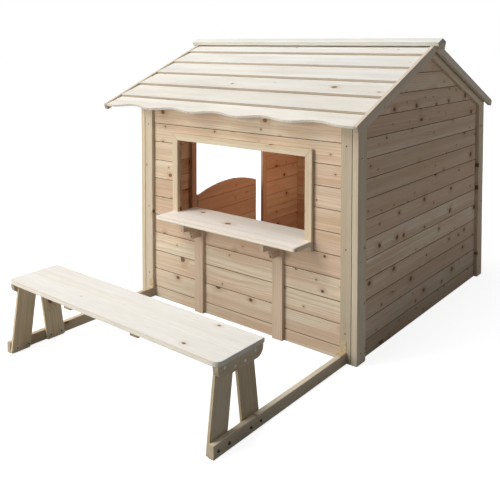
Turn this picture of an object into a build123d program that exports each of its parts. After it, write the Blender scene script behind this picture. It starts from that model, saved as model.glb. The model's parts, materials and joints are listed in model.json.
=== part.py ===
from build123d import *
from math import atan, cos, pi, radians, sin, tan
import os

# Child's wooden play house with a serving window, a half door and a bench on ground rails.
# +X runs along the front wall to its right end, +Y from the front wall to the back wall, +Z up.
# The origin is the centre of the whole set's footprint on the ground. All sizes are in mm.

# ---- overall ----
house_w = 1350.0
house_d = 1515.0
eave_over = 53.5
nose_over = 9.1
verge_right_over = 26.0
verge_left_over = 244.0
bench_reach = 875.0

# ---- timber ----
board_t = 13.0
batten_t = 18.0
panel_t = board_t + batten_t
groove = 1.5
lap = 8.0
fit_gap = 0.2
arris = 1.0
cut_margin = 50.0

# ---- wall boards: heights of the laps ----
front_first = 58.0
front_pitch = 100.0
front_rows = 10
front_top = 1045.0
side_first = 76.0
side_pitch = 90.0
side_rows = 16

# ---- battens on the walls ----
corner_w = 54.0
side_batten_w = 76.0
side_lip_w = 10.0
foot_r = 8.0
rake_w = 48.0

# ---- serving window and shelf: x is measured in from the right end ----
win_left_in = 1073.0
win_right_in = 272.0
win_top = 882.0
frame_w = 37.0
jamb_foot = 456.0
shelf_top = 502.0
shelf_t = 22.0
shelf_front = 128.0
shelf_back = 138.0
shelf_corner = 14.0
shelf_edge_r = 6.0
shelf_batten_w = 58.0
shelf_batten_in = {"left": 923.0, "right": 424.0}
bracket_t = 18.0
bracket_deep = 120.0
bracket_lip = 34.0
bracket_flat = 22.0
bracket_foot = 398.0

# ---- roof ----
pitch_deg = 23.0
ridge_lap_z = 1397.0
roof_t = 12.0
lap_pitch = 156.0
first_lap = 122.0
lap_len = 176.0
lap_rows = 5
lap_clear = 0.02
scallop_pitch = 297.0
scallop_high = 28.0
scallop_count = 5
scallop_end = 50.0
wave_low = 3.0
wave_steps = 96
front_cap_w = 58.0
back_cap_w = 45.0
cap_t = 19.0
cap_over = 27.0
end_block_deep = 24.0
verge_t = 18.0
verge_deep = 36.0
nose_r = 11.0
rafter_t = 18.0
rafter_deep = 36.0

# ---- door in the left wall: y is measured from the front wall's face ----
door_front = 395.0
door_back = 1066.0
door_head_rows = 11
door_gap_hinge = 32.0
door_gap_latch = 29.0
door_low = 25.0
door_rows = 6
door_side_top = 474.0
door_arch = 48.0
door_ajar = 3.0
stile_w = 40.0
post_w = 40.0
post_over = 18.0
trim_w = 44.0
trim_back = 25.0

# ---- butt hinges ----
knuckle_r = 5.0
pin_r = 2.45
bore_r = 2.5
leaf_t = 2.0
leaf_w = 34.0
hinge_h = 60.0
hinge_z = [110.0, 390.0]
knuckle_end = 18.0
leaf_clear = 0.5
pin_over = 1.0
hinge_screw_dz = 15.0

# ---- bench: reach is measured forward from the front wall's face ----
rail_t = 24.0
rail_h = 48.0
rail_in = 50.0
left_rail_shift = 10.0
rail_arris = 1.5
leg_t = 12.0
leg_splay = 8.0
leg_mid = 732.0
leg_gap_top = 4.0
leg_toe_r = 5.0
seat_top = 325.0
seat_t = 18.0
seat_end_in = 46.0
seat_reach = [594.0, 858.0]
seat_front_corner = 32.0
seat_back_corner = 6.0
seat_top_r = 3.0
seat_under_r = 2.0
cleat_h = 45.0
cleat_end = 6.0
cleat_r = 36.0
mid_cleat_x = 204.0
mid_cleat_w = 45.0
mid_cleat_t = 14.0
mid_cleat_end = 8.0

# ---- bolts, screws and angle plates ----
bolt_r = 3.0
bolt_hole_r = 3.1
bolt_z = 22.0
bolt_out = [-118.0, -60.0, 60.0, 118.0]
cleat_screw_at = [(-85.0, 296.0), (-27.0, 279.0), (27.0, 279.0), (85.0, 296.0)]
screw_deep = 10.0
head_r = 6.0
head_t = 3.5
head_round = 2.0
nut_r = 6.0
nut_t = 5.0
washer_r = 9.0
washer_t = 1.5
tail = 3.0
screw_r = 3.5
screw_t = 1.5
plate_w = 28.0
plate_l = 50.0
plate_t = 2.0
plate_r = 6.0
plate_in = 66.0
plate_screw_out = [18.0, 40.0]

# ---- derived positions ----
x_r = (house_w + verge_left_over - verge_right_over) / 2
x_l = x_r - house_w
x_m = (x_r + x_l) / 2
y_f = (bench_reach - house_d - eave_over - nose_over) / 2
y_b = y_f + house_d
y_m = (y_f + y_b) / 2
left_of = Plane.YZ.offset(x_m)
back_of = Plane.XZ.offset(-y_m)
pitch = radians(pitch_deg)
lap_rise = roof_t * lap_len / lap_pitch + lap_clear
deck_top = lap_rise + roof_t
ridge_z = ridge_lap_z - deck_top / cos(pitch)
y_eave = y_f - eave_over
z_eave = ridge_z - (y_m - y_eave) * tan(pitch)
v_ridge = (y_m - y_eave) / cos(pitch)
win_l = x_r - win_left_in
win_r = x_r - win_right_in
shelf_low = shelf_top - shelf_t
door_y0 = y_f + door_front
door_y1 = y_f + door_back
door_head = side_first + door_head_rows * side_pitch
hinge_x = x_l - knuckle_r
hinge_y = door_y0 + door_gap_hinge / 2

nodes = []


def slope(v, n):
    """Front roof slope to (y, z): v up the slope from the eave, n square to the rafters' top."""
    return (y_eave + v * cos(pitch) - n * sin(pitch), z_eave + v * sin(pitch) + n * cos(pitch))


def deck_z(y, n):
    """Height of the line n square to the rafters' top, above a point y on the front slope."""
    return ridge_z - (y_m - y) * tan(pitch) + n / cos(pitch)


def keep(part, label):
    part.label = label
    nodes.append(part)


def shiplap(low, high, top_lip):
    """Board section as (depth, height) points: depth 0 is the outer face."""
    half = board_t / 2
    foot = low + (lap if low > 0 else 0)
    tip = high + (lap - 1 if top_lip else 0)
    return [
        (0, low + fit_gap + groove),
        (groove, low + fit_gap),
        (half, low + fit_gap),
        (half, foot),
        (board_t, foot),
        (board_t, tip),
        (half + fit_gap, tip),
        (half + fit_gap, high - fit_gap),
        (groove, high - fit_gap),
        (0, high - fit_gap - groove),
    ]


# ---- wall boards ----
front_laps = [0.0] + [front_first + i * front_pitch for i in range(front_rows)] + [front_top]
side_laps = [0.0] + [side_first + i * side_pitch for i in range(side_rows)]

with BuildPart() as front_boards:
    for low, high in zip(front_laps[:-1], front_laps[1:]):
        section = [(y_f + batten_t + d, z) for d, z in shiplap(low, high, high < front_top)]
        with BuildSketch(Plane.YZ.offset(x_l + panel_t)):
            Polygon(*section, align=None)
        extrude(amount=house_w - 2 * panel_t)
    with Locations(((win_l + win_r) / 2, y_f + batten_t + board_t / 2, (shelf_low + win_top) / 2)):
        Box(win_r - win_l, 2 * board_t, win_top - shelf_low, mode=Mode.SUBTRACT)
keep(front_boards.part, "front_wall_boards")

with BuildPart() as back_boards:
    for low, high in zip(front_laps[:-1], front_laps[1:]):
        section = [(y_b - batten_t - d, z) for d, z in shiplap(low, high, high < front_top)]
        with BuildSketch(Plane.YZ.offset(x_l + panel_t)):
            Polygon(*section, align=None)
        extrude(amount=house_w - 2 * panel_t)
keep(back_boards.part, "back_wall_boards")

for side in ("right", "left"):
    face = x_r - batten_t if side == "right" else x_l + batten_t
    inward = -1 if side == "right" else 1
    with BuildPart() as side_boards:
        for low, high in zip(side_laps[:-1], side_laps[1:]):
            section = [(face + inward * d, z) for d, z in shiplap(low, high, high < side_laps[-1])]
            with BuildSketch(Plane.XZ.offset(-y_f - batten_t)):
                Polygon(*section, align=None)
            extrude(amount=-(house_d - 2 * batten_t))
        with BuildSketch(Plane.YZ.offset(face - 2 * board_t)):
            Polygon(
                (y_f - cut_margin, deck_z(y_f - cut_margin, -fit_gap)),
                (y_m, deck_z(y_m, -fit_gap)),
                (y_b + cut_margin, deck_z(y_f - cut_margin, -fit_gap)),
                (y_b + cut_margin, ridge_lap_z + 2 * cut_margin),
                (y_f - cut_margin, ridge_lap_z + 2 * cut_margin),
                align=None,
            )
        extrude(amount=4 * board_t, mode=Mode.SUBTRACT)
        if side == "left":
            with Locations((face, (door_y0 + door_y1) / 2, door_head / 2)):
                Box(4 * board_t, door_y1 - door_y0, door_head, mode=Mode.SUBTRACT)
    keep(side_boards.part, side + "_wall_boards")

# ---- corner battens ----
with BuildPart() as front_batten:
    with Locations((x_r - panel_t - corner_w / 2, y_f + batten_t / 2, front_top / 2)):
        Box(corner_w, batten_t, front_top)
    chamfer(front_batten.faces().sort_by(Axis.Y)[0].edges().filter_by(Axis.Z), arris)
keep(front_batten.part, "front_batten_right")
keep(mirror(front_batten.part, about=left_of), "front_batten_left")
keep(mirror(front_batten.part, about=back_of), "back_batten_right")
keep(mirror(mirror(front_batten.part, about=back_of), about=left_of), "back_batten_left")

with BuildPart() as side_batten:
    with BuildSketch(Plane.YZ.offset(x_r - batten_t)) as outline:
        Polygon(
            (y_f, 0),
            (y_f + side_batten_w, 0),
            (y_f + side_batten_w, deck_z(y_f + side_batten_w, -fit_gap)),
            (y_f, deck_z(y_f, -fit_gap)),
            align=None,
        )
        fillet(outline.vertices().sort_by(Axis.Y)[:2].sort_by(Axis.X)[-1], foot_r)
    extrude(amount=batten_t)
    with BuildSketch(Plane.YZ.offset(x_r - batten_t - side_lip_w)):
        Polygon(
            (y_f, 0),
            (y_f + batten_t, 0),
            (y_f + batten_t, deck_z(y_f + batten_t, -fit_gap)),
            (y_f, deck_z(y_f, -fit_gap)),
            align=None,
        )
    extrude(amount=side_lip_w)
    chamfer(side_batten.faces().sort_by(Axis.X)[-1].edges().filter_by(Axis.Z), arris)
keep(side_batten.part, "right_batten_front")
keep(mirror(side_batten.part, about=back_of), "right_batten_back")
keep(mirror(side_batten.part, about=left_of), "left_batten_front")
keep(mirror(mirror(side_batten.part, about=left_of), about=back_of), "left_batten_back")

# ---- raking battens along the gables ----
with BuildPart() as rakes:
    with BuildSketch(Plane.YZ.offset(x_r - batten_t)):
        Polygon(
            (y_f + side_batten_w, deck_z(y_f + side_batten_w, -fit_gap)),
            (y_m - fit_gap, deck_z(y_m - fit_gap, -fit_gap)),
            (y_m - fit_gap, deck_z(y_m - fit_gap, -rake_w)),
            (y_f + side_batten_w, deck_z(y_f + side_batten_w, -rake_w)),
            align=None,
        )
    extrude(amount=batten_t)
    mirror(about=back_of)
keep(rakes.part, "right_rakes")
keep(mirror(rakes.part, about=left_of), "left_rakes")

# ---- window frame, shelf, shelf battens and brackets ----
with BuildPart() as frame_top:
    with BuildSketch(Plane.XZ.offset(-y_f)):
        Polygon(
            (win_l, win_top),
            (win_r, win_top),
            (win_r + frame_w, win_top + frame_w),
            (win_l - frame_w, win_top + frame_w),
            align=None,
        )
    extrude(amount=-batten_t)
keep(frame_top.part, "window_frame_top")

with BuildPart() as frame_right:
    with BuildSketch(Plane.XZ.offset(-y_f)):
        Polygon(
            (win_r, jamb_foot),
            (win_r + frame_w, jamb_foot),
            (win_r + frame_w, win_top + frame_w),
            (win_r, win_top),
            align=None,
        )
    extrude(amount=-batten_t)
win_mid = Plane.YZ.offset((win_l + win_r) / 2)
keep(frame_right.part, "window_frame_right")
keep(mirror(frame_right.part, about=win_mid), "window_frame_left")

with BuildPart() as shelf:
    with BuildSketch(Plane.XY.offset(shelf_low)):
        with BuildLine():
            Polyline(
                (win_l + fit_gap, y_f + shelf_back),
                (win_l + fit_gap, y_f - fit_gap),
                (win_l - frame_w, y_f - fit_gap),
                (win_l - frame_w, y_f - shelf_front),
                (win_r + frame_w, y_f - shelf_front),
                (win_r + frame_w, y_f - fit_gap),
                (win_r - fit_gap, y_f - fit_gap),
                (win_r - fit_gap, y_f + shelf_back),
                close=True,
            )
        make_face()
    extrude(amount=shelf_t - fit_gap)
    front_corners = shelf.edges().filter_by(Axis.Z).group_by(Axis.Y)[0]
    fillet(front_corners, shelf_corner)
    fillet(shelf.faces().filter_by(Axis.Z).edges().group_by(Axis.Y)[0], shelf_edge_r)
keep(shelf.part, "serving_shelf")

arc_r = shelf_low - bracket_lip - bracket_foot

for side, in_from_right in shelf_batten_in.items():
    x_c = x_r - in_from_right
    with BuildPart() as shelf_batten:
        with Locations((x_c, y_f + batten_t / 2, (shelf_low - fit_gap) / 2)):
            Box(shelf_batten_w, batten_t, shelf_low - fit_gap)
        chamfer(shelf_batten.faces().sort_by(Axis.Y)[0].edges().filter_by(Axis.Z), arris)
    keep(shelf_batten.part, "shelf_batten_" + side)
    with BuildPart() as bracket:
        with BuildSketch(Plane.YZ.offset(x_c - bracket_t / 2)):
            with BuildLine():
                Polyline(
                    (y_f, bracket_foot),
                    (y_f, shelf_low),
                    (y_f - bracket_deep, shelf_low),
                    (y_f - bracket_deep, shelf_low - bracket_lip),
                    (y_f - bracket_deep + bracket_flat, shelf_low - bracket_lip),
                )
                RadiusArc(
                    (y_f - bracket_deep + bracket_flat, shelf_low - bracket_lip),
                    (y_f - bracket_deep + bracket_flat + arc_r, bracket_foot),
                    arc_r,
                )
                Line((y_f - bracket_deep + bracket_flat + arc_r, bracket_foot), (y_f, bracket_foot))
            make_face()
        extrude(amount=bracket_t)
    keep(bracket.part, "shelf_bracket_" + side)

# ---- roof ----
deck_l = x_l - verge_left_over + verge_t
deck_r = x_r + verge_right_over - verge_t
laps = [first_lap + i * lap_pitch for i in range(lap_rows)]

with BuildPart() as roof_boards:
    for v0 in laps:
        v1 = min(v0 + lap_len, v_ridge)
        n1 = lap_rise * (1 - (v1 - v0) / lap_len)
        with BuildSketch(Plane.YZ.offset(deck_l)):
            Polygon(
                slope(v0, lap_rise),
                slope(v1, n1),
                slope(v1, n1 + roof_t),
                slope(v0, lap_rise + roof_t),
                align=None,
            )
        extrude(amount=deck_r - deck_l)
keep(roof_boards.part, "front_roof_boards")
keep(mirror(roof_boards.part, about=back_of), "back_roof_boards")

lift = atan(lap_rise / lap_len)
board_rise = pitch - lift
eave_v = first_lap - lap_pitch
eave_y, eave_z = slope(eave_v, lap_rise)
eave_plane = Plane(
    origin=(0, eave_y, eave_z), x_dir=(1, 0, 0), z_dir=(0, -sin(board_rise), cos(board_rise))
)
eave_len = lap_len / cos(lift)
wave_mid = scallop_high / 2
first_low = deck_r - scallop_end
last_low = first_low - scallop_count * scallop_pitch
wave_x = [deck_l + (deck_r - deck_l) * i / wave_steps for i in range(wave_steps + 1)]
wave = []
for x in wave_x:
    swing = wave_mid - wave_mid * cos(2 * pi * (x - first_low) / scallop_pitch)
    if x < last_low or x > first_low:
        swing = 0.0
    wave.append((x, wave_low - eave_v + swing))
with BuildPart() as eave_board:
    with BuildSketch(eave_plane):
        with BuildLine():
            Spline(*wave)
            Polyline(wave[-1], (deck_r, eave_len), (deck_l, eave_len), wave[0])
        make_face()
    extrude(amount=roof_t * cos(lift))
keep(eave_board.part, "front_eave_board")
keep(mirror(eave_board.part, about=back_of), "back_eave_board")

with BuildPart() as verges:
    for x0 in (deck_r, deck_l - verge_t):
        with BuildSketch(Plane.YZ.offset(x0)) as outline:
            Polygon(
                slope(0, deck_top - verge_deep),
                (y_m - fit_gap, deck_z(y_m - fit_gap, deck_top - verge_deep)),
                (y_m - fit_gap, deck_z(y_m - fit_gap, deck_top)),
                slope(0, deck_top),
                align=None,
            )
            fillet(outline.vertices().sort_by(Axis.X)[:2], nose_r)
        extrude(amount=verge_t)
keep(verges.part, "front_verge_strips")
keep(mirror(verges.part, about=back_of), "back_verge_strips")

cap_left = deck_l - verge_t - cap_over
cap_low = deck_top + fit_gap
cap_v = v_ridge + (deck_top + cap_t) * tan(pitch)
for side, cap_w in (("front", front_cap_w), ("back", back_cap_w)):
    with BuildPart() as cap:
        with BuildSketch(Plane.YZ.offset(cap_left)):
            Polygon(
                (y_m, deck_z(y_m, cap_low)),
                (y_m, deck_z(y_m, cap_low + cap_t)),
                slope(cap_v - cap_w, cap_low + cap_t),
                slope(cap_v - cap_w, cap_low),
                align=None,
            )
        extrude(amount=deck_r - deck_l + 2 * verge_t + 2 * cap_over)
    keep(cap.part if side == "front" else mirror(cap.part, about=back_of), "ridge_cap_" + side)

back_y, back_z = slope(cap_v - back_cap_w, cap_low)
foot_y, foot_z = slope(cap_v - back_cap_w, cap_low - end_block_deep)
with BuildPart() as end_blocks:
    for x0 in (cap_left, deck_r + verge_t):
        with BuildSketch(Plane.YZ.offset(x0)):
            Polygon(
                slope(cap_v - front_cap_w, cap_low),
                (y_m, deck_z(y_m, cap_low)),
                (2 * y_m - back_y, back_z),
                (2 * y_m - foot_y, foot_z),
                align=None,
            )
        extrude(amount=cap_over)
keep(end_blocks.part, "ridge_end_blocks")

rafter_x = [x_l + panel_t, x_m - rafter_t / 2, x_r - panel_t - rafter_t]
with BuildPart() as rafters:
    for x0 in rafter_x:
        with BuildSketch(Plane.YZ.offset(x0)):
            Polygon(
                (y_f + panel_t, deck_z(y_f + panel_t, -rafter_deep)),
                (y_m - fit_gap, deck_z(y_m - fit_gap, -rafter_deep)),
                (y_m - fit_gap, deck_z(y_m - fit_gap, -fit_gap)),
                (y_f + panel_t, deck_z(y_f + panel_t, -fit_gap)),
                align=None,
            )
        extrude(amount=rafter_t)
keep(rafters.part, "front_rafters")
keep(mirror(rafters.part, about=back_of), "back_rafters")

# ---- door surround ----
with BuildPart() as posts:
    for y_c in (door_y0 - post_w / 2, door_y1 - post_over + post_w / 2):
        with Locations((x_l + panel_t + batten_t / 2, y_c, door_head / 2)):
            Box(batten_t, post_w, door_head)
keep(posts.part, "door_posts")

with BuildPart() as header:
    with Locations((x_l + panel_t + batten_t / 2, (door_y0 + door_y1 - post_over) / 2, door_head + post_w / 2)):
        Box(batten_t, door_y1 - door_y0 - post_over + 2 * post_w, post_w)
keep(header.part, "door_header")

with BuildPart() as trims:
    for y_c in (door_y0 - trim_w / 2, door_y1 + trim_back + trim_w / 2):
        with Locations((x_l + batten_t / 2, y_c, door_head / 2)):
            Box(batten_t, trim_w, door_head)
keep(trims.part, "door_trims")

with BuildPart() as trim_top:
    with Locations((x_l + batten_t / 2, (door_y0 + door_y1 + trim_back) / 2, door_head + trim_w / 2)):
        Box(batten_t, door_y1 - door_y0 + trim_back + 2 * trim_w, trim_w)
keep(trim_top.part, "door_trim_top")

# ---- door, built shut and then swung to its rest angle ----
hinge_line = Axis((hinge_x, hinge_y, 0), (0, 0, 1))
leaf_y0 = door_y0 + door_gap_hinge
leaf_y1 = door_y1 - door_gap_latch
door_laps = [door_low] + [side_first + i * side_pitch for i in range(door_rows)]
with BuildPart() as door_boards:
    for low, high in zip(door_laps[:-1], door_laps[1:]):
        foot_low = low if low > door_low else 0
        section = [
            (x_l + batten_t + d, max(z, door_low)) for d, z in shiplap(foot_low, high, high < door_laps[-1])
        ]
        with BuildSketch(Plane.XZ.offset(-leaf_y0)):
            Polygon(*section, align=None)
        extrude(amount=-(leaf_y1 - leaf_y0))
    with BuildSketch(Plane.YZ.offset(x_l)):
        with BuildLine():
            ThreePointArc(
                (leaf_y0 - arris, door_side_top),
                ((leaf_y0 + leaf_y1) / 2, door_side_top + door_arch),
                (leaf_y1 + arris, door_side_top),
            )
            Polyline(
                (leaf_y1 + arris, door_side_top),
                (leaf_y1 + arris, door_side_top + 2 * cut_margin),
                (leaf_y0 - arris, door_side_top + 2 * cut_margin),
                (leaf_y0 - arris, door_side_top),
            )
        make_face()
    extrude(amount=2 * panel_t, mode=Mode.SUBTRACT)
keep(door_boards.part.rotate(hinge_line, door_ajar), "door_boards")

with BuildPart() as stiles:
    for y_c in (leaf_y0 + stile_w / 2, leaf_y1 - stile_w / 2):
        with Locations((x_l + batten_t / 2, y_c, (door_low + door_side_top) / 2)):
            Box(batten_t, stile_w, door_side_top - door_low)
keep(stiles.part.rotate(hinge_line, door_ajar), "door_stiles")

# ---- butt hinges on the outer face ----
end_z = (hinge_h - knuckle_end) / 2
mid_h = hinge_h - 2 * knuckle_end - 2 * leaf_clear
inner_y = knuckle_r + leaf_clear

with BuildPart() as frame_leaves:
    for z in hinge_z:
        with Locations((x_l - leaf_t / 2, hinge_y - inner_y - leaf_w / 2, z)):
            Box(leaf_t, leaf_w, hinge_h)
        with Locations((hinge_x, hinge_y, z - end_z), (hinge_x, hinge_y, z + end_z)):
            Cylinder(knuckle_r, knuckle_end)
        with Locations((x_l - leaf_t / 2, hinge_y - inner_y / 2, z - end_z)):
            Box(leaf_t, inner_y, knuckle_end)
        with Locations((x_l - leaf_t / 2, hinge_y - inner_y / 2, z + end_z)):
            Box(leaf_t, inner_y, knuckle_end)
        with Locations((hinge_x, hinge_y, z)):
            Cylinder(bore_r, hinge_h * 2, mode=Mode.SUBTRACT)
        for dz in (-hinge_screw_dz, hinge_screw_dz):
            with Locations((x_l - leaf_t - screw_t / 2, hinge_y - inner_y - leaf_w / 2, z + dz)):
                Cylinder(screw_r, screw_t, rotation=(0, 90, 0))
keep(frame_leaves.part, "hinge_frame_leaves")

with BuildPart() as door_leaves:
    for z in hinge_z:
        with Locations((x_l - leaf_t / 2, hinge_y + inner_y + leaf_w / 2, z)):
            Box(leaf_t, leaf_w, hinge_h)
        with Locations((hinge_x, hinge_y, z)):
            Cylinder(knuckle_r, mid_h)
        with Locations((x_l - leaf_t / 2, hinge_y + inner_y / 2, z)):
            Box(leaf_t, inner_y, mid_h)
        with Locations((hinge_x, hinge_y, z)):
            Cylinder(bore_r, hinge_h * 2, mode=Mode.SUBTRACT)
        for dz in (-hinge_screw_dz, hinge_screw_dz):
            with Locations((x_l - leaf_t - screw_t / 2, hinge_y + inner_y + leaf_w / 2, z + dz)):
                Cylinder(screw_r, screw_t, rotation=(0, 90, 0))
keep(door_leaves.part.rotate(hinge_line, door_ajar), "hinge_door_leaves")

with BuildPart() as pins:
    for z in hinge_z:
        with Locations((hinge_x, hinge_y, z)):
            Cylinder(pin_r, hinge_h + 2 * pin_over)
keep(pins.part, "hinge_pins")

# ---- bench ----
seat_y0 = y_f - seat_reach[1]
seat_y1 = y_f - seat_reach[0]
seat_low = seat_top - seat_t
rail_x = x_r - rail_in - rail_t / 2
leg_x0 = x_r - rail_in - rail_t - leg_t
rail_bolts = [(leg_mid + dy, bolt_z) for dy in bolt_out]
cleat_screws = [(leg_mid + dy, z) for dy, z in cleat_screw_at]
left_bench_of = Plane.YZ.offset(x_m + left_rail_shift / 2)

with BuildPart() as seat:
    with BuildSketch(Plane.XY.offset(seat_low)) as outline:
        with Locations((x_m, (seat_y0 + seat_y1) / 2)):
            Rectangle(house_w - 2 * seat_end_in, seat_y1 - seat_y0)
        fillet(outline.vertices().group_by(Axis.Y)[0], seat_front_corner)
        fillet(outline.vertices().group_by(Axis.Y)[-1], seat_back_corner)
    extrude(amount=seat_t)
    fillet(seat.faces().sort_by(Axis.Z)[-1].edges(), seat_top_r)
    fillet(seat.faces().sort_by(Axis.Z)[0].edges(), seat_under_r)
keep(seat.part, "bench_seat")

with BuildPart() as cleat:
    with BuildSketch(Plane.YZ.offset(x_r - rail_in - rail_t)) as outline:
        with Locations(((seat_y0 + seat_y1) / 2, seat_low - cleat_h / 2)):
            Rectangle(seat_y1 - seat_y0 - 2 * cleat_end, cleat_h)
        fillet(outline.vertices().sort_by(Axis.Y)[:2], cleat_r)
    extrude(amount=rail_t)
    for reach, z in cleat_screws:
        with Locations((rail_x, y_f - reach, z)):
            Cylinder(bolt_hole_r, rail_t * 2, rotation=(0, 90, 0), mode=Mode.SUBTRACT)
keep(cleat.part, "bench_cleat_right")
keep(mirror(cleat.part, about=left_bench_of), "bench_cleat_left")

with BuildPart() as mid_cleats:
    for x_c in (x_m - mid_cleat_x, x_m + mid_cleat_x):
        with Locations((x_c, (seat_y0 + seat_y1) / 2, seat_low - mid_cleat_t / 2)):
            Box(mid_cleat_w, seat_y1 - seat_y0 - 2 * mid_cleat_end, mid_cleat_t)
keep(mid_cleats.part, "bench_mid_cleats")

with BuildPart() as rail:
    with Locations((rail_x, y_f - bench_reach / 2, rail_h / 2)):
        Box(rail_t, bench_reach, rail_h)
    chamfer(rail.faces().sort_by(Axis.Z)[-1].edges().filter_by(Axis.Y), rail_arris)
    for reach, z in rail_bolts:
        with Locations((rail_x, y_f - reach, z)):
            Cylinder(bolt_hole_r, rail_t * 2, rotation=(0, 90, 0), mode=Mode.SUBTRACT)
keep(rail.part, "ground_rail_right")
keep(mirror(rail.part, about=left_bench_of), "ground_rail_left")

spread = tan(radians(leg_splay))
with BuildPart() as legs:
    for sgn in (-1, 1):
        y_c = y_f - leg_mid
        foot_in = leg_gap_top + seat_low * spread
        foot_out = bench_reach - leg_mid
        with BuildSketch(Plane.YZ.offset(leg_x0)) as outline:
            Polygon(
                (y_c + sgn * foot_in, 0),
                (y_c + sgn * foot_out, 0),
                (y_c + sgn * (foot_out - seat_low * spread), seat_low),
                (y_c + sgn * leg_gap_top, seat_low),
                align=None,
            )
            fillet(outline.vertices().sort_by(Axis.Y)[:2], leg_toe_r)
        extrude(amount=leg_t)
    for reach, z in rail_bolts:
        with Locations((leg_x0 + leg_t / 2, y_f - reach, z)):
            Cylinder(bolt_hole_r, leg_t * 2, rotation=(0, 90, 0), mode=Mode.SUBTRACT)
    for reach, z in cleat_screws:
        with Locations((leg_x0 + leg_t - screw_deep / 2, y_f - reach, z)):
            Cylinder(bolt_hole_r, screw_deep, rotation=(0, 90, 0), mode=Mode.SUBTRACT)
keep(legs.part, "bench_legs_right")
keep(mirror(legs.part, about=left_bench_of), "bench_legs_left")

# ---- bolts, nuts and screws ----
out_x = x_r - rail_in

with BuildPart() as bolts:
    for reach, z in rail_bolts:
        shank = rail_t + leg_t + washer_t + nut_t + tail
        with Locations((out_x - shank / 2, y_f - reach, z)):
            Cylinder(bolt_r, shank, rotation=(0, 90, 0))
        with Locations((out_x + head_t / 2, y_f - reach, z)):
            Cylinder(head_r, head_t, rotation=(0, 90, 0))
    fillet(bolts.faces().filter_by(Axis.X).group_by(Axis.X)[-1].edges(), head_round)
keep(bolts.part, "rail_bolts_right")
keep(mirror(bolts.part, about=left_bench_of), "rail_bolts_left")

with BuildPart() as nuts:
    for reach, z in rail_bolts:
        with Locations((leg_x0 - washer_t / 2, y_f - reach, z)):
            Cylinder(washer_r, washer_t, rotation=(0, 90, 0))
        with BuildSketch(Plane.YZ.offset(leg_x0 - washer_t)):
            with Locations((y_f - reach, z)):
                RegularPolygon(nut_r, 6)
        extrude(amount=-nut_t)
        with Locations((leg_x0 - washer_t, y_f - reach, z)):
            Cylinder(bolt_hole_r, nut_t * 6, rotation=(0, 90, 0), mode=Mode.SUBTRACT)
keep(nuts.part, "rail_nuts_right")
keep(mirror(nuts.part, about=left_bench_of), "rail_nuts_left")

with BuildPart() as screws:
    for reach, z in cleat_screws:
        with Locations((out_x - (rail_t + screw_deep - leaf_clear) / 2, y_f - reach, z)):
            Cylinder(bolt_r, rail_t + screw_deep - leaf_clear, rotation=(0, 90, 0))
        with Locations((out_x + screw_t / 2, y_f - reach, z)):
            Cylinder(head_r, screw_t, rotation=(0, 90, 0))
keep(screws.part, "cleat_screws_right")
keep(mirror(screws.part, about=left_bench_of), "cleat_screws_left")

# ---- angle plates between the rails and the front wall ----
plate_x = x_r - plate_in
with BuildPart() as plate:
    with BuildSketch(Plane.XY.offset(rail_h)) as outline:
        with Locations((plate_x, y_f - plate_l / 2)):
            Rectangle(plate_w, plate_l)
        fillet(outline.vertices().sort_by(Axis.Y)[:2], plate_r)
    extrude(amount=plate_t)
    with BuildSketch(Plane.XZ.offset(-y_f)) as outline:
        with Locations((plate_x, rail_h + plate_l / 2)):
            Rectangle(plate_w, plate_l)
        fillet(outline.vertices().sort_by(Axis.Y)[-2:], plate_r)
    extrude(amount=plate_t)
    for reach in plate_screw_out:
        with Locations((plate_x, y_f - reach, rail_h + plate_t + screw_t / 2)):
            Cylinder(screw_r, screw_t)
        with Locations((plate_x, y_f - plate_t - screw_t / 2, rail_h + reach)):
            Cylinder(screw_r, screw_t, rotation=(90, 0, 0))
keep(plate.part, "angle_plate_right")
keep(mirror(plate.part, about=left_bench_of), "angle_plate_left")

os.makedirs("parts", exist_ok=True)
for node in nodes:
    export_step(node, "parts/" + node.label + ".step")
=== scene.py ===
import json
import math
import random

import bmesh
import bpy
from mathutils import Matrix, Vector


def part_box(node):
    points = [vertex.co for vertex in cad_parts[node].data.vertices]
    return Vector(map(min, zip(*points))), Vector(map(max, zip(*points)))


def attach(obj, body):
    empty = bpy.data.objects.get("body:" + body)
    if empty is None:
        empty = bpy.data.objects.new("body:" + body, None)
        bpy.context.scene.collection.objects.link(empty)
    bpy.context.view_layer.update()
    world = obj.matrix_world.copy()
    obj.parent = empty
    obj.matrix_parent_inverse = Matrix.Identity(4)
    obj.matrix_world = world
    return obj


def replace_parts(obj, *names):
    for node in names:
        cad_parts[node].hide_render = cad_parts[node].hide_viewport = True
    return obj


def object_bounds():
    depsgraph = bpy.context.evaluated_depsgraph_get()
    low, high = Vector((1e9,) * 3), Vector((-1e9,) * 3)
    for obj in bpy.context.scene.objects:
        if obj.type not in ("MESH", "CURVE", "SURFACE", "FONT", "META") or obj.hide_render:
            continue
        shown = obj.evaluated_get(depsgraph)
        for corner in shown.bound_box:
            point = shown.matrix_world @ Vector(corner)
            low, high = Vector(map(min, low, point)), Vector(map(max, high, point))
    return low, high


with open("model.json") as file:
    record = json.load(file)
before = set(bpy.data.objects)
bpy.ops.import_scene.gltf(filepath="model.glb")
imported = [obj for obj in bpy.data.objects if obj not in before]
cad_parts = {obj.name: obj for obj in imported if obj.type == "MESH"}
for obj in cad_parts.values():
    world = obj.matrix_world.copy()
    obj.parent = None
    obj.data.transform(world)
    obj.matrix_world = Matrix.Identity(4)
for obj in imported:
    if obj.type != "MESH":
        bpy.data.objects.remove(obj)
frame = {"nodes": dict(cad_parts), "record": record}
cad_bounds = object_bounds()

RECORD = frame["record"]
BODY = {n: body for body, names in RECORD["behaviour"]["bodies"].items() for n in names}
SLOT = {p["node"]: p["material_slot"] for p in RECORD["subparts"]}
MM = 0.001


# ---------------------------------------------------------------- materials


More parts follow.
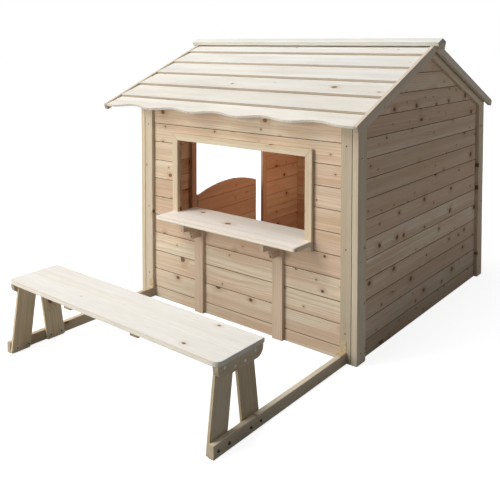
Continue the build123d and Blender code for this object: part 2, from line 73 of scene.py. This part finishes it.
class Shader:
    """A node material that is built up with short calls. Each call returns the node's output."""

    def __init__(self, name):
        self.material = bpy.data.materials.new(name)
        self.material.use_nodes = True
        self.tree = self.material.node_tree
        self.bsdf = self.tree.nodes["Principled BSDF"]

    def put(self, socket, value):
        if isinstance(value, bpy.types.NodeSocket):
            self.tree.links.new(value, socket)
        else:
            socket.default_value = value

    def set(self, name, value):
        self.put(self.bsdf.inputs[name], value)

    def add(self, kind, inputs, out, **settings):
        node = self.tree.nodes.new(kind)
        for key, value in settings.items():
            setattr(node, key, value)
        for key, value in inputs.items():
            self.put(node.inputs[key], value)
        return node.outputs[out]

    def calc(self, operation, *values):
        return self.add("ShaderNodeMath", dict(enumerate(values)), 0, operation=operation)

    def product(self, first, *others):
        for other in others:
            first = self.calc("MULTIPLY", first, other)
        return first

    def vec(self, x, y, z):
        return self.add("ShaderNodeCombineXYZ", {0: x, 1: y, 2: z}, 0)

    def split(self, kind, value):
        return list(self.add(kind, {0: value}, 0).node.outputs)

    def scaled(self, vector, factors):
        return self.add("ShaderNodeVectorMath", {0: vector, 1: factors}, 0, operation="MULTIPLY")

    def noise(self, vector, scale, detail=2.0, rough=0.5):
        inputs = {"Vector": vector, "Scale": scale, "Detail": detail, "Roughness": rough}
        return self.add("ShaderNodeTexNoise", inputs, 0)

    def fade(self, value, low, high, to_low=0.0, to_high=1.0):
        """Smooth step of value from to_low at low to to_high at high."""
        inputs = {"Value": value, 1: low, 2: high, 3: to_low, 4: to_high}
        return self.add("ShaderNodeMapRange", inputs, 0, interpolation_type="SMOOTHSTEP")

    def mix(self, factor, a, b):
        inputs = {0: factor, 6: a, 7: b}
        return self.add("ShaderNodeMix", inputs, 2, data_type="RGBA")

    def attribute(self, name, out="Fac"):
        return self.add("ShaderNodeAttribute", {}, out, attribute_name=name)

    def bump(self, height, distance, strength):
        inputs = {"Height": height, "Distance": distance, "Strength": strength}
        self.set("Normal", self.add("ShaderNodeBump", inputs, 0))


KNOT_CELLS = 10.5
KNOT_STRETCH = 0.75
KNOT_RADIUS = 2.6 * MM
KNOT_RADIUS_MORE = 10.5 * MM
KNOT_COLOUR = (0.20, 0.092, 0.04)
KNOT_RIM_COLOUR = (0.085, 0.042, 0.022)
KNOT_HEART_COLOUR = (0.06, 0.03, 0.016)
RING_PITCH = 6.2 * MM
RING_WANDER = 55 * MM
RING_ROUND_KNOT = 11 * MM
SAW_MARKS = 980.0


def tint(colour, r, g, b):
    return (colour[0] * r, colour[1] * g, colour[2] * b)


def knot_masks(s, grain, u, v, knotty):
    """Masks of knot, heart, halo and rim. Knots sit in the cells of a flat pattern on the board's face."""
    sway = s.noise(grain, 9.0, 1.0)
    flat = s.vec(s.calc("MULTIPLY", u, KNOT_STRETCH), s.calc("MULTIPLY_ADD", sway, 12 * MM, v), 0.0)
    inputs = {"Vector": flat, "Scale": KNOT_CELLS}
    cells = s.add("ShaderNodeTexVoronoi", inputs, "Distance", voronoi_dimensions="2D")
    pick, grow, darken = s.split("ShaderNodeSeparateColor", cells.node.outputs["Color"])
    # knots come in clusters
    crowd = s.fade(s.noise(s.scaled(flat, (1.0, 2.2, 1.0)), 3.2, 1.0), 0.36, 0.62, 0.3, 1.45)
    here = s.calc("GREATER_THAN", s.calc("MULTIPLY_ADD", knotty, crowd, pick), 1.0)
    size = s.calc("MULTIPLY_ADD", s.calc("POWER", grow, 3.0), KNOT_RADIUS_MORE, KNOT_RADIUS)
    reach = s.calc("DIVIDE", s.calc("DIVIDE", cells, KNOT_CELLS), size)
    knot = s.product(s.fade(reach, 1.0, 0.78), here)
    heart = s.product(s.fade(reach, 0.72, 0.1), here, s.fade(darken, 0.3, 0.8, 0.1, 0.85))
    halo = s.product(s.fade(reach, 5.0, 0.9), here)
    rim = s.product(s.fade(reach, 1.35, 1.0), s.fade(reach, 0.7, 0.95), here)
    return knot, heart, halo, rim


def ring_mask(s, grain, v, w, halo):
    """Late wood of the growth rings about the pith line, which bend round the knots."""
    wander = s.noise(s.scaled(grain, (1.6, 7.0, 7.0)), 1.0, 3.0)
    across = s.calc("MULTIPLY_ADD", wander, RING_WANDER, v)
    radius = s.calc("SQRT", s.calc("ADD", s.product(across, across), s.product(w, w)))
    bent = s.calc("MULTIPLY_ADD", s.product(halo, halo), RING_ROUND_KNOT, radius)
    turn = s.calc("FRACT", s.calc("DIVIDE", bent, RING_PITCH))
    patch = s.noise(s.scaled(grain, (1.1, 14.0, 1.0)), 1.0, 2.0)
    return s.product(s.fade(turn, 0.25, 0.86), s.fade(turn, 1.0, 0.9), s.fade(patch, 0.25, 0.7, 0.35, 1.0))


def saw_mask(s, grain, u):
    """The marks a saw leaves across the board, in patches."""
    wander = s.noise(s.scaled(grain, (3.0, 4.0, 1.0)), 1.0, 2.0)
    beat = s.calc("SINE", s.calc("MULTIPLY_ADD", u, SAW_MARKS, s.product(wander, 16.0)))
    patch = s.fade(s.noise(s.scaled(grain, (1.7, 9.0, 1.0)), 1.0, 2.0), 0.35, 0.65)
    return s.product(s.calc("MULTIPLY_ADD", beat, 0.5, 0.5), patch)


def pine(name, pale, deep, rosy, tone, seam, saw=0.0):
    """Bare softwood. tone is the darkest board's share of light, seam and saw how strong those marks are;
    the seam mark is a brown tone with painted shade.
    """
    s = Shader(name)
    grain = s.attribute("grain", "Vector")
    u, v, w = s.split("ShaderNodeSeparateXYZ", grain)
    board, edge, end = s.attribute("board"), s.attribute("edge"), s.attribute("end")
    knot, heart, halo, rim = knot_masks(s, grain, u, v, s.attribute("knotty"))
    ring = ring_mask(s, grain, v, w, halo)
    fibre = s.noise(s.scaled(grain, (10.0, 420.0, 420.0)), 1.0, 3.0, 0.6)
    streak = s.noise(s.scaled(grain, (2.3, 75.0, 75.0)), 1.0, 3.0, 0.55)
    blotch = s.noise(s.scaled(grain, (1.4, 5.0, 1.0)), 2.2, 3.0)
    band = s.noise(s.scaled(grain, (0.5, 26.0, 26.0)), 1.0, 2.0)

    layers = [
        (s.fade(board, 0.15, 0.95, 0.0, 0.85), rosy),
        (s.fade(blotch, 0.38, 0.68, 0.0, 0.7), rosy),
        (s.fade(band, 0.4, 0.7, 0.0, 0.55), deep),
        (s.product(ring, 0.55), deep),
        # seams and lap edges: brown of the joints, with painted shade in the grooves and under the laps
        (s.fade(edge, 0.0, 0.6, 0.0, seam), tint(deep, 1.0, 0.8, 0.58)),
        (s.product(s.fade(streak, 0.66, 0.74), 0.3), tint(deep, 0.72, 0.6, 0.5)),
        (s.product(halo, 0.45), tint(deep, 0.9, 0.78, 0.66)),
        (s.product(knot, 0.9), KNOT_COLOUR),
        (s.product(rim, 0.75), KNOT_RIM_COLOUR),
        (heart, KNOT_HEART_COLOUR),
    ]
    colour = (*pale, 1)
    for mask, over in layers:
        colour = s.mix(mask, colour, (*over, 1))

    shades = [
        s.fade(board, 0.0, 1.0, 1.03, tone),
        # dim holds each piece's painted light and shade, times the darkening towards the ground
        s.attribute("dim"),
        # end grain darker, and painted shade on the ground rails' sides
        s.calc("MULTIPLY_ADD", end, -0.26, 1.0),
        # painted shade on seams, eased edges and lap edges
        s.calc("MULTIPLY_ADD", edge, -seam, 1.0),
    ]
    height = s.calc("MULTIPLY_ADD", ring, -0.3, s.product(fibre, 0.5))
    height = s.calc("MULTIPLY_ADD", rim, -0.9, height)
    if saw:
        mark = saw_mask(s, grain, u)
        shades.append(s.calc("MULTIPLY_ADD", mark, -saw, 1.0))
        height = s.calc("MULTIPLY_ADD", mark, -0.8, height)
    shade = s.product(s.fade(fibre, 0.3, 0.75, 1.03, 0.9), *shades)
    s.set("Base Color", s.add("ShaderNodeHueSaturation", {"Value": shade, "Color": colour}, 0))
    s.set("Roughness", s.calc("MULTIPLY_ADD", knot, -0.14, s.calc("MULTIPLY_ADD", fibre, 0.16, 0.55)))
    s.set("Specular IOR Level", 0.28)
    s.bump(height, 0.6 * MM, 0.7)
    return s.material


AGED_COLOUR = (0.13, 0.062, 0.028)


def steel(name, colour, aged, metal=0.95):
    """Dull zinc plate: fine scratches, grey mottling, and brown where it has aged."""
    s = Shader(name)
    at = s.add("ShaderNodeTexCoord", {}, "Object")
    stretched = s.add("ShaderNodeMapping", {"Vector": at, "Scale": (900.0, 60.0, 900.0)}, 0)
    scratch = s.noise(stretched, 1.0, 3.0, 0.6)
    mottle = s.noise(at, 160.0, 3.0)
    spots = s.fade(s.noise(at, 70.0, 4.0, 0.65), 0.52, 0.7)
    base = s.mix(s.fade(mottle, 0.35, 0.7), (*colour, 1), (*tint(colour, 1.35, 1.35, 1.3), 1))
    s.set("Base Color", s.mix(s.product(spots, aged), base, (*AGED_COLOUR, 1)))
    s.set("Metallic", s.calc("MULTIPLY_ADD", spots, -0.6 * metal * aged, metal))
    s.set("Roughness", s.fade(scratch, 0.3, 0.7, 0.34, 0.58))
    s.bump(s.calc("ADD", scratch, mottle), 0.12 * MM, 0.6)
    return s.material


# pale, deep and rosy wood; light of the darkest board; strength of the seams, a brown tone with painted
# shade; strength of the saw marks
TIMBER = {
    "wall_pine": ((0.80, 0.705, 0.545), (0.57, 0.385, 0.24), (0.755, 0.54, 0.39), 0.9, 0.72),
    "trim_pine": ((0.76, 0.68, 0.53), (0.64, 0.49, 0.32), (0.74, 0.62, 0.46), 0.96, 0.15),
    # a darker copy of the roof timber for the verges and end blocks: painted shade for their outer faces,
    # which stand in shade
    "shaded_verge_pine": ((0.71, 0.64, 0.52), (0.60, 0.49, 0.37), (0.68, 0.58, 0.46), 0.97, 0.1),
    "batten_pine": ((0.77, 0.67, 0.52), (0.62, 0.46, 0.31), (0.75, 0.58, 0.44), 0.95, 0.15),
    "shelf_pine": ((0.97, 0.945, 0.895), (0.86, 0.75, 0.62), (0.95, 0.89, 0.80), 0.97, 0.2),
    "roof_pine": ((0.76, 0.75, 0.705), (0.68, 0.61, 0.51), (0.74, 0.695, 0.61), 0.97, 0.5, 0.16),
    "bench_pine": ((0.90, 0.89, 0.85), (0.81, 0.74, 0.63), (0.88, 0.84, 0.765), 0.97, 0.2, 0.03),
    "leg_pine": ((0.70, 0.62, 0.45), (0.51, 0.385, 0.23), (0.67, 0.54, 0.37), 0.92, 0.2, 0.03),
}
# colour, strength of the brown spots, and how metallic
PLATE = {
    "steel": ((0.30, 0.285, 0.27), 0.45),
    "yellow_zinc": ((0.56, 0.45, 0.29), 0.3, 0.4),
    "bright_steel": ((0.62, 0.60, 0.57), 0.2, 0.35),
    "dark_steel": ((0.085, 0.075, 0.068), 0.4),
}
MATERIALS = {name: pine(name, *values) for name, values in TIMBER.items()}
MATERIALS.update({name: steel(name, *values) for name, values in PLATE.items()})

# pieces that don't wear their slot's own material: the first part of a name that fits, and the material
LOOKS = (
    ("serving_shelf", "shelf_pine"),
    ("angle_plate", "yellow_zinc"),
    ("verge", "shaded_verge_pine"),
    ("end_blocks", "shaded_verge_pine"),
    ("shelf_batten", "batten_pine"),
    ("shelf_bracket", "batten_pine"),
    ("rail_bolts", "dark_steel"),
    ("cleat_screws", "bright_steel"),
    ("rail_nuts", "bright_steel"),
    ("bench_legs", "leg_pine"),
    ("bench_cleat", "leg_pine"),
    ("mid_cleats", "leg_pine"),
    ("ground_rail", "trim_pine"),
)
# painted light and shade on single pieces, as a share of light: below 1 darkens pieces that stand in shade,
# above 1 lightens pieces that catch more light
PIECE_LIGHT_AND_SHADE = {
    "front_batten_right": 0.74,
    "front_batten_left": 0.92,
    "right_batten_front": 0.86,
    "bench_legs_left": 1.12,
    "bench_legs_right": 0.77,
    "bench_cleat_right": 0.82,
    "ground_rail_right": 0.92,
    "door_boards": 1.05,
    "front_eave_board": 1.05,
}
# share of colour taken off at the ground, fading out up to the height below
GROUND_DIM = {"right_wall_boards": 0.34, "front_wall_boards": 0.08}
GROUND_DARK_HIGH = 0.3
# share of the knot cells that hold a knot, by piece or by material slot
KNOTTY = {
    "right_wall_boards": 0.6,
    "front_eave_board": 0.03,
    "wall_pine": 0.36,
    "trim_pine": 0.13,
    "roof_pine": 0.1,
    "bench_pine": 0.06,
}


def look(name):
    for part, material in LOOKS:
        if part in name:
            return material
    return SLOT[name]


# ---------------------------------------------------------------- boards from the CAD solids

WELD = 0.02 * MM
FLAT = math.radians(0.6)
SHARP = math.radians(50)
SHARP_SHADING = math.radians(38)
SEAM_W = 2.5 * MM
LAP_EDGE_W = 14 * MM
SEAM_MARK = 1.0
# painted shadow under each roof lap, over the brown of its butt edge
LAP_EDGE_SHADE_MARK = 0.5
EAVE_SEAM_MARK = 0.25
GRAIN_LENGTH = 40.0
PITH_ASIDE = 0.05
PITH_DEEP = (0.02, 0.09)


def solids(mesh):
    """The node's triangles, one list of corner points for each closed solid."""
    whole = bmesh.new()
    whole.from_mesh(mesh)
    whole.verts.ensure_lookup_table()
    same = bmesh.ops.find_doubles(whole, verts=whole.verts, dist=WELD)["targetmap"]
    spot = {p.index: same.get(p, p).index for p in whole.verts}
    faces = [[spot[p.index] for p in f.verts] for f in whole.faces]
    points = [p.co.copy() for p in whole.verts]
    whole.free()
    faces = [f for f in faces if len(set(f)) == len(f)]
    owner = list(range(len(faces)))

    def top(i):
        while owner[i] != i:
            owner[i] = owner[owner[i]]
            i = owner[i]
        return i

    sides = {}
    for i, f in enumerate(faces):
        for a, b in zip(f, f[1:] + f[:1]):
            sides.setdefault((min(a, b), max(a, b)), ([], []))[a < b].append(i)
    for one, other in sides.values():
        # where solids touch along an edge, the faces pair up in the order they were written
        for i, j in zip(sorted(one), sorted(other)):
            owner[top(i)] = top(j)
    groups = {}
    for i, f in enumerate(faces):
        groups.setdefault(top(i), []).append([points[k].to_tuple(6) for k in f])
    return list(groups.values())


def board_mesh(faces):
    """One closed board from its triangles, with the flat faces joined up."""
    board = bmesh.new()
    made = {}
    for f in faces:
        for p in f:
            if p not in made:
                made[p] = board.verts.new(p)
        if board.faces.get([made[p] for p in f]) is None:
            board.faces.new([made[p] for p in f])
    bmesh.ops.recalc_face_normals(board, faces=board.faces)
    bmesh.ops.dissolve_limit(board, angle_limit=FLAT, verts=board.verts, edges=board.edges)
    return board


def board_axes(board):
    """Along, across and through directions: the longest edge, and the normal of the largest face."""
    longest = max(board.edges, key=lambda e: e.calc_length())
    along = (longest.verts[1].co - longest.verts[0].co).normalized()
    flat = [f for f in board.faces if abs(f.normal.dot(along)) < 0.5]
    through = max(flat, key=lambda f: f.calc_area()).normal.copy()
    through = (through - through.dot(along) * along).normalized()
    return along, through.cross(along), through


def ease(board, bevel):
    """Bevel the board's sharp edges, and return the faces that this makes."""
    if not bevel:
        return set()
    sharp = [e for e in board.edges if len(e.link_faces) == 2 and e.calc_face_angle(0.0) > SHARP]
    sharp = [e for e in sharp if e.calc_length() > 3.0 * bevel]
    flats = len(board.faces)
    made = bmesh.ops.bevel(
        board, geom=sharp, offset=bevel, segments=2, profile=0.6, affect="EDGES", clamp_overlap=True
    )["faces"]
    return set(made) if len(board.faces) > flats else set()


def mark_layers(bm):
    """What the timber materials read: place in the grain, the board's own numbers, and marks on faces."""
    return {
        "grain": bm.verts.layers.float_vector.new("grain"),
        "board": bm.verts.layers.float.new("board"),
        "knotty": bm.verts.layers.float.new("knotty"),
        "dim": bm.verts.layers.float.new("dim"),
        "edge": bm.faces.layers.float.new("edge"),
        "end": bm.faces.layers.float.new("end"),
    }


def seam_tone_and_shade(name, face, eased):
    """How much of the seam mark a face takes, a brown tone with painted shade: eased and narrow faces, and
    the roof's lap edges, where it is painted shadow under each lap.
    """
    width = face.calc_area() / max(e.calc_length() for e in face.edges)
    if face in eased or width < SEAM_W:
        return EAVE_SEAM_MARK if "eave" in name else SEAM_MARK
    return LAP_EDGE_SHADE_MARK if "roof_boards" in name and width < LAP_EDGE_W else 0.0


def end_grain_and_rail_shade(name, face, along):
    """1 on end grain, and on the ground rails' side faces, where it is painted shade."""
    shaded_rail_side = "ground_rail" in name and abs(face.normal.x) > 0.8
    return 1.0 if abs(face.normal.dot(along)) > 0.8 or shaded_rail_side else 0.0


def copy_board(out, marks, name, board, axes, eased, chance, shift):
    """Add the board to out at a random place in the grain, moved through the wall by up to shift."""
    along, across, through = axes
    pith_v = chance.uniform(-PITH_ASIDE, PITH_ASIDE)
    pith_w = chance.choice((-1, 1)) * chance.uniform(*PITH_DEEP)
    start = chance.uniform(0, GRAIN_LENGTH)
    own_tone = chance.random()
    middle = sum((p.co for p in board.verts), Vector()) / len(board.verts)
    nudge = through * chance.uniform(-shift, shift)
    knot_share = KNOTTY.get(name, KNOTTY.get(SLOT[name], 0.0))
    copies = {}
    for p in board.verts:
        q = out.verts.new(p.co + nudge)
        local = p.co - middle
        # 1 at the ground, falling to 0 at the height where the darkening ends
        lowness = max(0.0, 1.0 - p.co.z / GROUND_DARK_HIGH)
        place = (local.dot(along) + start, local.dot(across) + pith_v, local.dot(through) + pith_w)
        q[marks["grain"]] = place
        q[marks["board"]] = own_tone
        q[marks["knotty"]] = knot_share
        # painted light and shade of the piece, times the darkening towards the ground
        q[marks["dim"]] = PIECE_LIGHT_AND_SHADE.get(name, 1.0) * (1.0 - GROUND_DIM.get(name, 0.0) * lowness)
        copies[p] = q
    for f in board.faces:
        g = out.faces.new([copies[p] for p in f.verts])
        g.smooth = True
        g[marks["edge"]] = seam_tone_and_shade(name, f, eased)
        g[marks["end"]] = end_grain_and_rail_shade(name, f, along)


def dress(name, bevel, seed, shift=0.0):
    """Stands for a CAD node: the same boards with eased edges, each with its own piece of the grain."""
    chance = random.Random(seed)
    out = bmesh.new()
    marks = mark_layers(out)
    for faces in solids(frame["nodes"][name].data):
        board = board_mesh(faces)
        axes = board_axes(board)
        eased = ease(board, bevel)
        copy_board(out, marks, name, board, axes, eased, chance, shift)
        board.free()
    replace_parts(finish_mesh(out, "v_" + name, BODY[name], look(name)), name)


def finish_mesh(bm, name, body, material):
    mesh = bpy.data.meshes.new(name)
    bm.to_mesh(mesh)
    bm.free()
    mesh.set_sharp_from_angle(angle=SHARP_SHADING)
    mesh.materials.append(MATERIALS[material])
    piece = bpy.data.objects.new(name, mesh)
    bpy.context.scene.collection.objects.link(piece)
    even = piece.modifiers.new("even_normals", "WEIGHTED_NORMAL")
    even.keep_sharp = True
    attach(piece, body)
    return piece


# ---------------------------------------------------------------- turned bolt and screw heads

SHANK_R = 3.0 * MM
HEAD_R = 6.0 * MM
BOLT_HEAD = {"height": 3.5 * MM, "socket": 2.6 * MM}
SCREW_HEAD = {"height": 1.5 * MM, "socket": 2.8 * MM}
SHORT_SCREW = 4.0 * MM
SHORT_SCREW_HEAD = 1.0 * MM
BRACKET_LIP = 34 * MM
BRACKET_FLAT = 22 * MM
BRACKET_SCREW_TURNS = (12, 38)
BATTEN_SCREW_INSET = 30 * MM
SIDE_SCREW_HEIGHTS = (0.05, 0.45, 0.9)
END_SCREW_HEIGHTS = (0.13, 0.5, 0.95)


def turned(bm, centre, axis, profile, sides=20):
    """A closed turned shape: profile holds (distance along the axis, radius) from one pole to the other."""
    axis = axis.normalized()
    side = axis.orthogonal().normalized()
    up = axis.cross(side)
    rows = []
    for along, radius in profile:
        if radius == 0.0:
            rows.append([bm.verts.new(centre + axis * along)])
            continue
        ring = []
        for i in range(sides):
            a = 2 * math.pi * i / sides
            out = side * math.cos(a) + up * math.sin(a)
            ring.append(bm.verts.new(centre + axis * along + out * radius))
        rows.append(ring)
    for low, high in zip(rows, rows[1:]):
        for i in range(sides):
            j = (i + 1) % sides
            corners = [low[i % len(low)], low[j % len(low)], high[j % len(high)], high[i % len(high)]]
            bm.faces.new(list(dict.fromkeys(corners))).smooth = True


def screw_profile(shank, radius, head, height, socket):
    """Pole of the shank, shank, domed head, and the recess for the driver."""
    return [
        (-shank, 0.0),
        (-shank, radius),
        (0.0, radius),
        (0.0, head),
        (0.35 * height, head),
        (0.8 * height, 0.82 * head),
        (height, 0.6 * head),
        (height, socket),
        (0.45 * height, 0.9 * socket),
        (0.3 * height, 0.0),
    ]


def solid_boxes(name):
    """(low, high) corners of each solid of a CAD node."""
    found = []
    for faces in solids(frame["nodes"][name].data):
        points = [Vector(p) for f in faces for p in f]
        low = Vector([min(p[k] for p in points) for k in range(3)])
        high = Vector([max(p[k] for p in points) for k in range(3)])
        found.append((low, high))
    return found


def heads(name, height, socket):
    """Stands for a CAD node of bolts or screws along X: same shanks, with domed and recessed heads."""
    bm = bmesh.new()
    outward = 1 if "right" in name else -1
    for low, high in solid_boxes(name):
        middle = (low + high) / 2
        face = high.x - height if outward > 0 else low.x + height
        shank = high.x - low.x - height
        profile = screw_profile(shank, SHANK_R, HEAD_R, height, socket)
        turned(bm, Vector((face, middle.y, middle.z)), Vector((outward, 0, 0)), profile)
    bmesh.ops.recalc_face_normals(bm, faces=bm.faces)
    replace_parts(finish_mesh(bm, "v_" + name, BODY[name], look(name)), name)


def extra_screws(name, places, head):
    """Short screws that the CAD leaves out: places holds (point on the timber, direction out of it)."""
    bm = bmesh.new()
    profile = screw_profile(SHORT_SCREW, 0.5 * head, head, SHORT_SCREW_HEAD, 0.5 * head)
    for place, outward in places:
        turned(bm, place, outward, profile, 16)
    bmesh.ops.recalc_face_normals(bm, faces=bm.faces)
    finish_mesh(bm, name, "house", "dark_steel")


def bracket_screws():
    """Two screws in the lower end of each bracket's hollow curve."""
    places = []
    for side in ("left", "right"):
        low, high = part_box("shelf_bracket_" + side)
        radius = high.z - low.z - BRACKET_LIP
        hub = Vector(((low.x + high.x) / 2, low.y + BRACKET_FLAT, low.z))
        for turn in BRACKET_SCREW_TURNS:
            out = Vector((0, math.cos(math.radians(turn)), math.sin(math.radians(turn))))
            places.append((hub + out * radius, -out))
    return places


def batten_screws():
    """Rows of screws up the uprights at the house's corners."""
    places = []
    for side, outward in (("right", 1), ("left", -1)):
        for end in ("front", "back"):
            low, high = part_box(side + "_batten_" + end)
            x = high.x if outward > 0 else low.x
            y = low.y + BATTEN_SCREW_INSET if end == "front" else high.y - BATTEN_SCREW_INSET
            for z in SIDE_SCREW_HEIGHTS:
                places.append((Vector((x, y, z)), Vector((outward, 0, 0))))
    for end, outward in (("front", -1), ("back", 1)):
        for side in ("left", "right"):
            low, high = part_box(end + "_batten_" + side)
            y = low.y if outward < 0 else high.y
            for z in END_SCREW_HEIGHTS:
                places.append((Vector(((low.x + high.x) / 2, y, z)), Vector((0, outward, 0))))
    return places


# ---------------------------------------------------------------- all the pieces

BOARD_BEVEL = 1.1 * MM
BOARD_SHIFT = 0.35 * MM
TIMBER_BEVEL = 1.4 * MM

for seed, name in enumerate(sorted(frame["nodes"])):
    if name.startswith("rail_bolts"):
        heads(name, **BOLT_HEAD)
    elif name.startswith("cleat_screws"):
        heads(name, **SCREW_HEAD)
    elif SLOT[name] == "steel":
        dress(name, 0.0, seed)
    elif "boards" in name:
        dress(name, BOARD_BEVEL, seed, BOARD_SHIFT)
    else:
        dress(name, TIMBER_BEVEL, seed)
extra_screws("bracket_screws", bracket_screws(), 4.0 * MM)
extra_screws("batten_screws", batten_screws(), 3.5 * MM)


# ---------------------------------------------------------------- floor, light and camera

FLOOR_RADII = (3.0, 6.0, 12.0, 60.0)
FLOOR_SIDES = 64
FLOOR_Z = -0.6 * MM
SHIFT_RANGE = 0.1


def floor_material():
    """Pale matt floor that the camera sees as white, fading in from the object's foot."""
    s = Shader("studio_floor")
    at = s.add("ShaderNodeTexCoord", {}, "Object")
    distance = s.add("ShaderNodeVectorMath", {0: at}, "Value", operation="LENGTH")
    seen = s.add("ShaderNodeLightPath", {}, "Is Camera Ray")
    s.set("Base Color", s.mix(s.noise(at, 40.0, 3.0), (0.42, 0.42, 0.42, 1), (0.45, 0.45, 0.45, 1)))
    s.set("Roughness", 0.85)
    s.set("Specular IOR Level", 0.1)
    s.set("Emission Color", (1, 1, 1, 1))
    s.set("Emission Strength", s.product(seen, s.fade(distance, 1.2, 4.0, 0.84, 1.0)))
    return s.material


def floor():
    bm = bmesh.new()
    rows = []
    for r in FLOOR_RADII:
        turns = [2 * math.pi * i / FLOOR_SIDES for i in range(FLOOR_SIDES)]
        rows.append([bm.verts.new((r * math.cos(a), r * math.sin(a), FLOOR_Z)) for a in turns])
    bm.faces.new(rows[0])
    for inner, outer in zip(rows, rows[1:]):
        for i in range(FLOOR_SIDES):
            j = (i + 1) % FLOOR_SIDES
            bm.faces.new((inner[i], outer[i], outer[j], inner[j]))
    mesh = bpy.data.meshes.new("floor")
    bm.to_mesh(mesh)
    bm.free()
    mesh.materials.append(floor_material())
    plane = bpy.data.objects.new("floor", mesh)
    bpy.context.scene.collection.objects.link(plane)
    return plane


def area_light(name, place, target, size, power, colour):
    data = bpy.data.lights.new(name, "AREA")
    data.shape = "DISK"
    data.size = size
    data.energy = power
    data.color = colour
    lamp = bpy.data.objects.new(name, data)
    lamp.location = place
    lamp.rotation_euler = (Vector(target) - Vector(place)).to_track_quat("-Z", "Y").to_euler()
    bpy.context.scene.collection.objects.link(lamp)


def sky(light, seen):
    """Even light from all round, with plain white where the camera looks past the set."""
    world = bpy.data.worlds.new("studio")
    bpy.context.scene.world = world
    world.use_nodes = True
    tree = world.node_tree
    tree.nodes.clear()
    out = tree.nodes.new("ShaderNodeOutputWorld")
    mixer = tree.nodes.new("ShaderNodeMixShader")
    path = tree.nodes.new("ShaderNodeLightPath")
    for index, strength in ((1, light), (2, seen)):
        glow = tree.nodes.new("ShaderNodeBackground")
        glow.inputs["Color"].default_value = (1, 1, 1, 1)
        glow.inputs["Strength"].default_value = strength
        tree.links.new(glow.outputs[0], mixer.inputs[index])
    tree.links.new(path.outputs["Is Camera Ray"], mixer.inputs[0])
    tree.links.new(mixer.outputs[0], out.inputs[0])


def shift_lens(view, holder, centre, shift):
    """Shift the lens while the camera is at its own distance. Views from elsewhere stay centred."""
    home = (holder.location - centre.location).length
    for path, value in zip(("shift_x", "shift_y"), shift):
        curve = view.driver_add(path)
        curve.driver.type = "SUM"
        apart = curve.driver.variables.new()
        apart.type = "LOC_DIFF"
        apart.targets[0].id = holder
        apart.targets[1].id = centre
        for modifier in list(curve.modifiers):
            curve.modifiers.remove(modifier)
        curve.keyframe_points.clear()
        curve.extrapolation = "CONSTANT"
        curve.keyframe_points.add(3)
        steps = ((home - SHIFT_RANGE, 0.0), (home, value), (home + SHIFT_RANGE, 0.0))
        for point, step in zip(curve.keyframe_points, steps):
            point.co = step
            point.interpolation = "LINEAR"
        curve.update()


def camera(place, down, turn, lens, shift, centre):
    """Level apart from a small tilt, with the view shifted as in a photo of a tall object."""
    view = bpy.data.cameras.new("camera")
    view.sensor_width = 36.0
    view.lens = lens
    holder = bpy.data.objects.new("camera", view)
    holder.location = place
    holder.rotation_euler = (math.radians(90 - down), 0.0, math.radians(turn))
    bpy.context.scene.collection.objects.link(holder)
    bpy.context.scene.camera = holder
    shift_lens(view, holder, centre, shift)


ground = floor()
middle = (cad_bounds[0] + cad_bounds[1]) / 2
area_light("key", (-3.2, -4.3, 6.2), middle, size=3.4, power=300.0, colour=(1.0, 0.985, 0.96))
area_light("top", (-0.6, -0.6, 6.5), middle, size=5.0, power=222.0, colour=(0.93, 0.97, 1.05))
area_light("front", (-2.8, -6.6, 1.9), middle, size=4.0, power=235.0, colour=(1.0, 0.97, 0.91))
area_light("side", (4.2, 2.9, 1.4), middle, size=2.0, power=21.0, colour=(1.0, 0.97, 0.92))
# a weak warm lamp in the room, for light that bounces between its bare boards
room = (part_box("back_wall_boards")[0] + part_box("front_wall_boards")[1]) / 2
lamp_at = (room.x + 0.1, room.y + 0.2, 0.8)
lamp_to = (room.x - 0.6, room.y + 0.2, 0.4)
area_light("inside", lamp_at, lamp_to, size=0.5, power=2.3, colour=(1.0, 0.52, 0.32))
sky(light=0.08, seen=1.0)
camera((2.1733, -2.8560, 1.3951), down=2.454, turn=39.5, lens=48.12, shift=(0.0288, -0.3574), centre=ground)
bpy.context.scene.view_settings.view_transform = "Standard"
